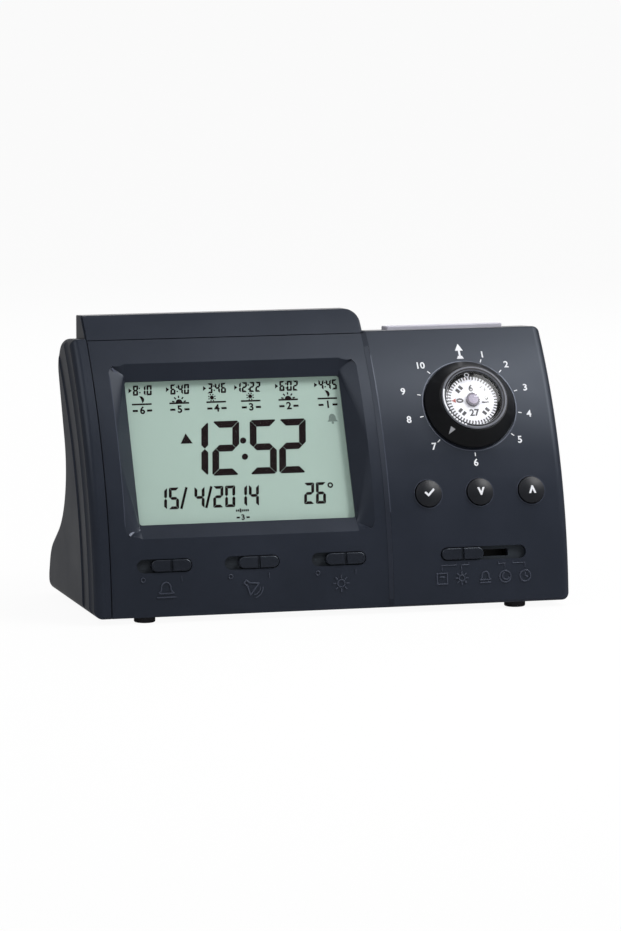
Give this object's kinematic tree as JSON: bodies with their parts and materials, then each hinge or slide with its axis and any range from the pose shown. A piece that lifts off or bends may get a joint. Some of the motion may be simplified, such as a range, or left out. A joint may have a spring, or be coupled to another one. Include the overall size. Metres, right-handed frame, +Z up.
{
  "type": "azan clock",
  "caption": "Table clock with a display for daily prayer times, a selector knob that holds a compass, push buttons, slide switches and a light key",
  "frame": {"origin": "centre of the bounding box's bottom, where the feet stand", "axes": "+X to the viewer's right along the case, +Y away from the viewer towards the back, +Z up"},
  "size_m": [0.175, 0.0779, 0.1046],
  "materials": {
    "case": "fine moulded grain, satin",
    "display_window": "clear, polished",
    "display_glass": "grey-green display glass",
    "light_guide": "milky acrylic",
    "inner_plastic": "moulded",
    "contact_rubber": "soft",
    "lamp": "clear resin",
    "circuit_board": "green solder mask",
    "black_resin": "moulded resin",
    "crystal_can": "satin",
    "knob": "satin",
    "dial_ring": "satin",
    "rotor": "moulded",
    "contact_metal": "nickel plated",
    "pivot": "polished",
    "card": "printed",
    "magnet": "sintered",
    "dome": "clear, polished",
    "buttons": "satin",
    "slide_knobs": "satin",
    "switches": "moulded",
    "light_key": "satin",
    "cells": "satin",
    "speaker_cone": "pressed paper",
    "screws": "zinc plated",
    "feet": "soft"
  },
  "bodies": {
    "case": {"front_bezel": "case", "rear_housing": "case", "lcd_window": "display_window", "lcd_glass": "display_glass", "light_guide": "light_guide", "lcd_holder": "inner_plastic", "speaker_frame": "inner_plastic", "zebra_strips": "contact_rubber", "backlight_lamp": "lamp", "main_board": "circuit_board", "selector_board": "circuit_board", "button_board": "circuit_board", "switch_board": "circuit_board", "light_board": "circuit_board", "main_chip": "black_resin", "sound_chip": "black_resin", "temperature_sensor": "black_resin", "quartz_crystal": "crystal_can", "selector_detent_spring": "contact_metal", "battery_plates": "contact_metal", "battery_springs": "contact_metal", "speaker_magnet": "magnet", "button_switches": "switches", "slide_switches": "switches", "mode_switch": "switches", "light_switch": "switches", "battery_cells": "cells", "speaker_cone": "speaker_cone", "board_screws": "screws", "case_screws": "screws", "base_screws": "screws", "feet": "feet"},
    "selector": {"selector_knob": "knob", "selector_rotor": "rotor", "selector_wiper": "contact_metal", "compass_cup": "rotor", "compass_pivot": "pivot", "compass_dome": "dome", "compass_ring": "dial_ring"},
    "compass": {"compass_card": "card", "compass_magnet": "magnet"},
    "set_key": {"set_button": "buttons"},
    "down_key": {"down_button": "buttons"},
    "up_key": {"up_button": "buttons"},
    "light_bar": {"light_key": "light_key"},
    "left_slide": {"slide_knob_left": "slide_knobs"},
    "middle_slide": {"slide_knob_middle": "slide_knobs"},
    "right_slide": {"slide_knob_right": "slide_knobs"},
    "mode_slide": {"mode_knob": "slide_knobs"},
    "door": {"battery_door": "case"}
  },
  "joints": [
    {"name": "selector_turn", "type": "hinge", "parent": "case", "child": "selector", "pos_m": [0.0553, -0.01882, 0.07137], "axis": [0, -0.8701, 0.4929], "range_deg": [-98.18, 196.36]},
    {"name": "compass_turn", "type": "hinge", "parent": "selector", "child": "compass", "pos_m": [0.0553, -0.01882, 0.07137], "axis": [0, -0.8701, 0.4929], "continuous": true},
    {"name": "set_press", "type": "slide", "parent": "case", "child": "set_key", "axis": [0, 0.953, -0.3029], "range_m": [0, 0.0009], "stiffness_N_per_m": 300, "springref_m": -0.001},
    {"name": "down_press", "type": "slide", "parent": "case", "child": "down_key", "axis": [0, 0.953, -0.3029], "range_m": [0, 0.0009], "stiffness_N_per_m": 300, "springref_m": -0.001},
    {"name": "up_press", "type": "slide", "parent": "case", "child": "up_key", "axis": [0, 0.953, -0.3029], "range_m": [0, 0.0009], "stiffness_N_per_m": 300, "springref_m": -0.001},
    {"name": "light_press", "type": "slide", "parent": "case", "child": "light_bar", "axis": [0, -0.0872, -0.9962], "range_m": [0, 0.0008], "stiffness_N_per_m": 300, "springref_m": -0.001},
    {"name": "left_slide_travel", "type": "slide", "parent": "case", "child": "left_slide", "axis": [1, 0, 0], "range_m": [-0.0048, 0]},
    {"name": "middle_slide_travel", "type": "slide", "parent": "case", "child": "middle_slide", "axis": [1, 0, 0], "range_m": [-0.0048, 0]},
    {"name": "right_slide_travel", "type": "slide", "parent": "case", "child": "right_slide", "axis": [1, 0, 0], "range_m": [-0.0048, 0]},
    {"name": "mode_slide_travel", "type": "slide", "parent": "case", "child": "mode_slide", "axis": [1, 0, 0], "range_m": [0, 0.0156]},
    {"name": "door_lift", "type": "slide", "parent": "case", "child": "door", "axis": [0, 0.6428, 0.766], "range_m": [0, 0.03]}
  ]
}
